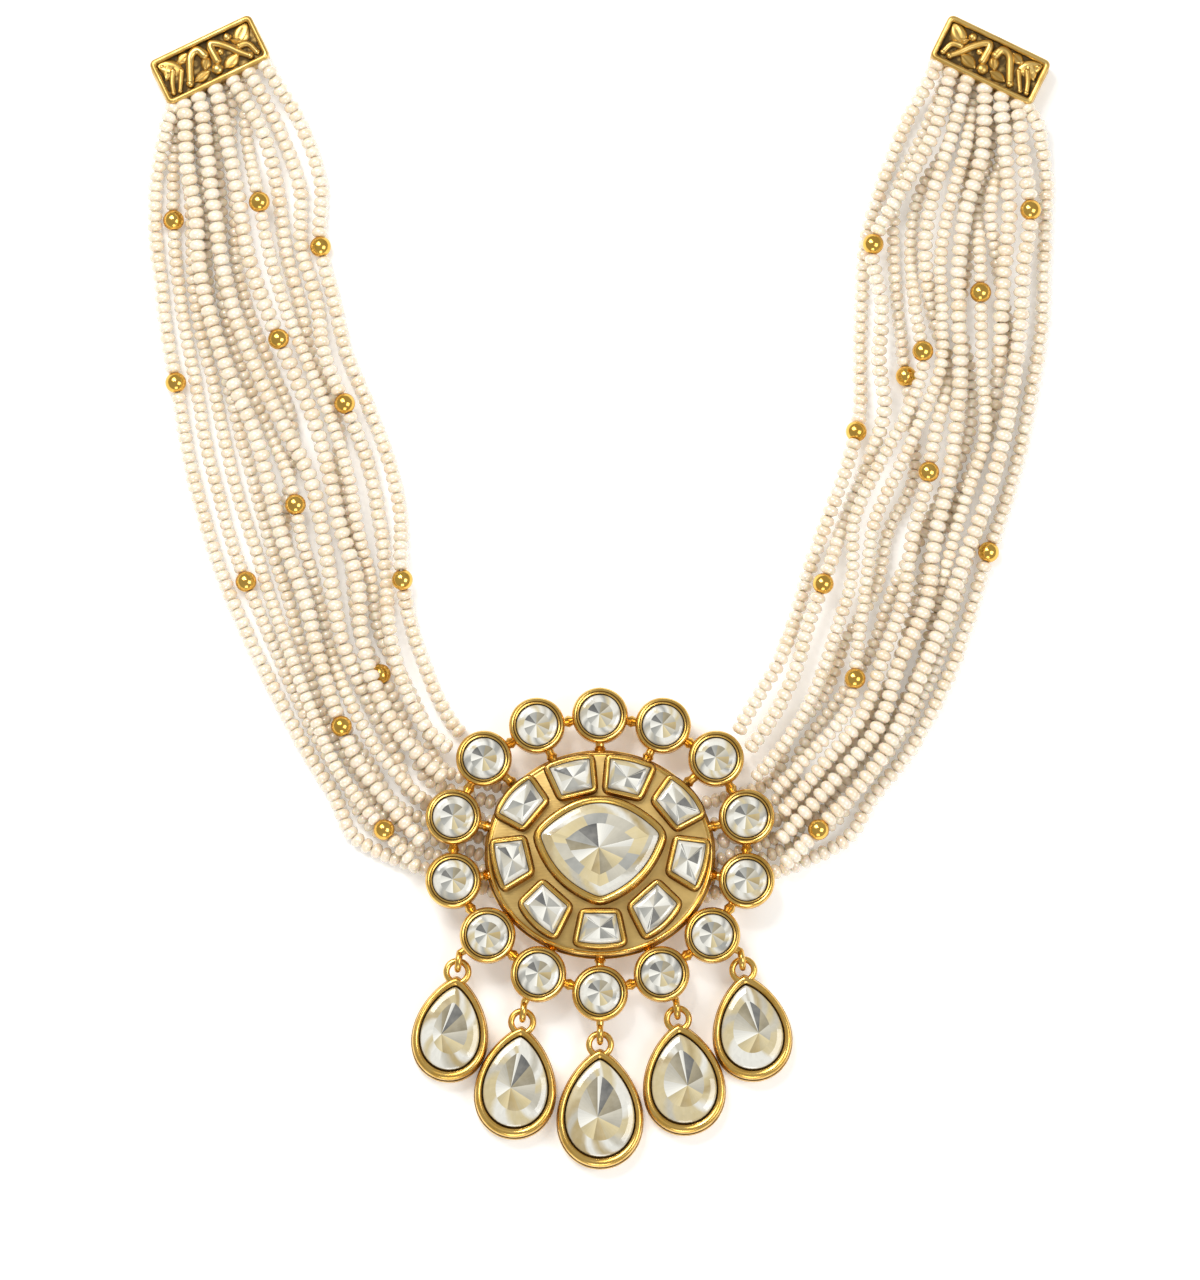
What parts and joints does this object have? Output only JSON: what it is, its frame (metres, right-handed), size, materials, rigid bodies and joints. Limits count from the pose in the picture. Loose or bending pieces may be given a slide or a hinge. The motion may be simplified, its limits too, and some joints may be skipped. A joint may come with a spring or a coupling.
{
  "type": "kundan necklace",
  "caption": "Choker of braided pearl strands with gold beads, an oval stone set pendant with pear drops and two cast end plates, lying flat in a horseshoe.",
  "frame": {"origin": "middle of the flat back of the pendant's lac filled core, on the surface that the necklace lies on", "axes": "+Y from the pendant to the end plates, +X to the right as seen from the front, +Z out of the pendant's face"},
  "size_m": [0.1624, 0.2065, 0.0098],
  "materials": {
    "pearl": "lustrous ivory pearl",
    "gold_bead": "polished gold",
    "cast_plate": "antique gold, polished relief over a dark patina",
    "pendant_gold": "antique gold, polished rims and a satin face",
    "drop_gold": "antique gold, polished rims",
    "stone": "foil backed uncut stone, champagne and grey"
  },
  "bodies": {
    "root": {"strand_a": "pearl", "strand_b": "pearl", "strand_c": "pearl", "strand_d": "pearl", "strand_e": "pearl", "strand_f": "pearl", "strand_g": "pearl", "strand_h": "pearl", "strand_i": "pearl", "strand_j": "pearl", "strand_k": "pearl", "strand_m": "pearl", "strand_n": "pearl", "gold_beads_left": "gold_bead", "gold_beads_right": "gold_bead", "end_plate_left": "cast_plate", "end_plate_right": "cast_plate", "pendant": "pendant_gold", "drop_setting_1": "drop_gold", "drop_setting_2": "drop_gold", "drop_setting_3": "drop_gold", "drop_setting_4": "drop_gold", "drop_setting_5": "drop_gold", "centre_stone": "stone", "keystone_1": "stone", "keystone_2": "stone", "keystone_3": "stone", "keystone_4": "stone", "keystone_5": "stone", "keystone_6": "stone", "keystone_7": "stone", "keystone_8": "stone", "keystone_9": "stone", "round_stone_1": "stone", "round_stone_2": "stone", "round_stone_3": "stone", "round_stone_4": "stone", "round_stone_5": "stone", "round_stone_6": "stone", "round_stone_7": "stone", "round_stone_8": "stone", "round_stone_9": "stone", "round_stone_10": "stone", "round_stone_11": "stone", "round_stone_12": "stone", "round_stone_13": "stone", "round_stone_14": "stone", "drop_stone_1": "stone", "drop_stone_2": "stone", "drop_stone_3": "stone", "drop_stone_4": "stone", "drop_stone_5": "stone"}
  },
  "joints": []
}
